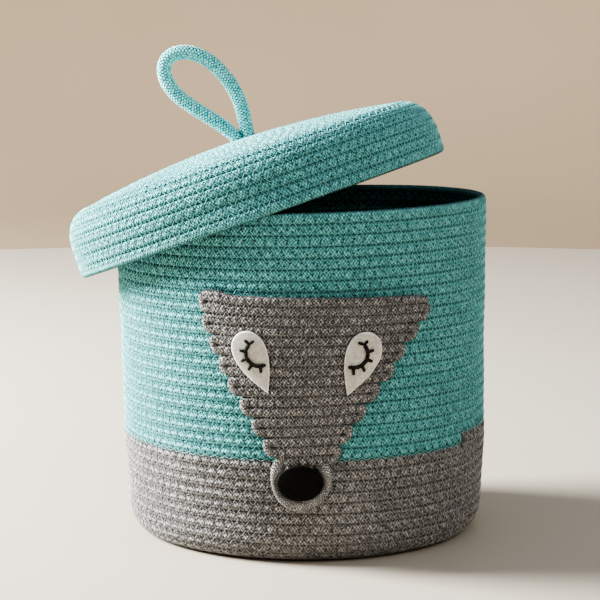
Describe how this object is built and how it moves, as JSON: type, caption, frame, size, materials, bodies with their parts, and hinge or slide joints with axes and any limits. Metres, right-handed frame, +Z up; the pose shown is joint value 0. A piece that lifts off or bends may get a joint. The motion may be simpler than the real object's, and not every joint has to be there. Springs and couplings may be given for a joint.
{
  "type": "lidded storage basket",
  "caption": "Round coiled-rope storage basket with a sewn-on sleepy animal face and a domed lid with a rope loop, lying ajar on the rim.",
  "frame": {"origin": "centre of the underside of the base, on the surface the basket stands on", "axes": "+Z up, -Y towards the side with the face, +X to the viewer's right when looking at the face"},
  "size_m": [0.3132, 0.3004, 0.3554],
  "materials": {
    "teal_rope": "teal cotton rope, braided and zigzag sewn",
    "grey_rope": "warm grey cotton rope, braided and zigzag sewn",
    "white_felt": "off-white felt",
    "black_felt": "black felt",
    "black_thread": "black stranded thread"
  },
  "bodies": {
    "basket": {"base_coil": "grey_rope", "lower_wall_coil": "grey_rope", "upper_wall_coil": "teal_rope", "face_panel": "grey_rope", "snout_coil": "grey_rope", "nose_pad": "black_felt", "eye_felt_left": "white_felt", "eye_felt_right": "white_felt", "lash_left": "black_thread", "lash_right": "black_thread"},
    "lid": {"lid_crown_coil": "teal_rope", "lid_skirt_coil": "teal_rope", "loop_knot": "teal_rope"},
    "loop": {"loop_handle": "teal_rope"}
  },
  "joints": [
    {"name": "lid_lift", "type": "slide", "parent": "basket", "child": "lid", "axis": [0, 0, 1], "range_m": [0, 0.12]},
    {"name": "loop_flop", "type": "hinge", "parent": "lid", "child": "loop", "pos_m": [-0.05182, 0.01186, 0.2919], "axis": [0.947, 0.0122, 0.321], "range_deg": [-80, 80]}
  ]
}
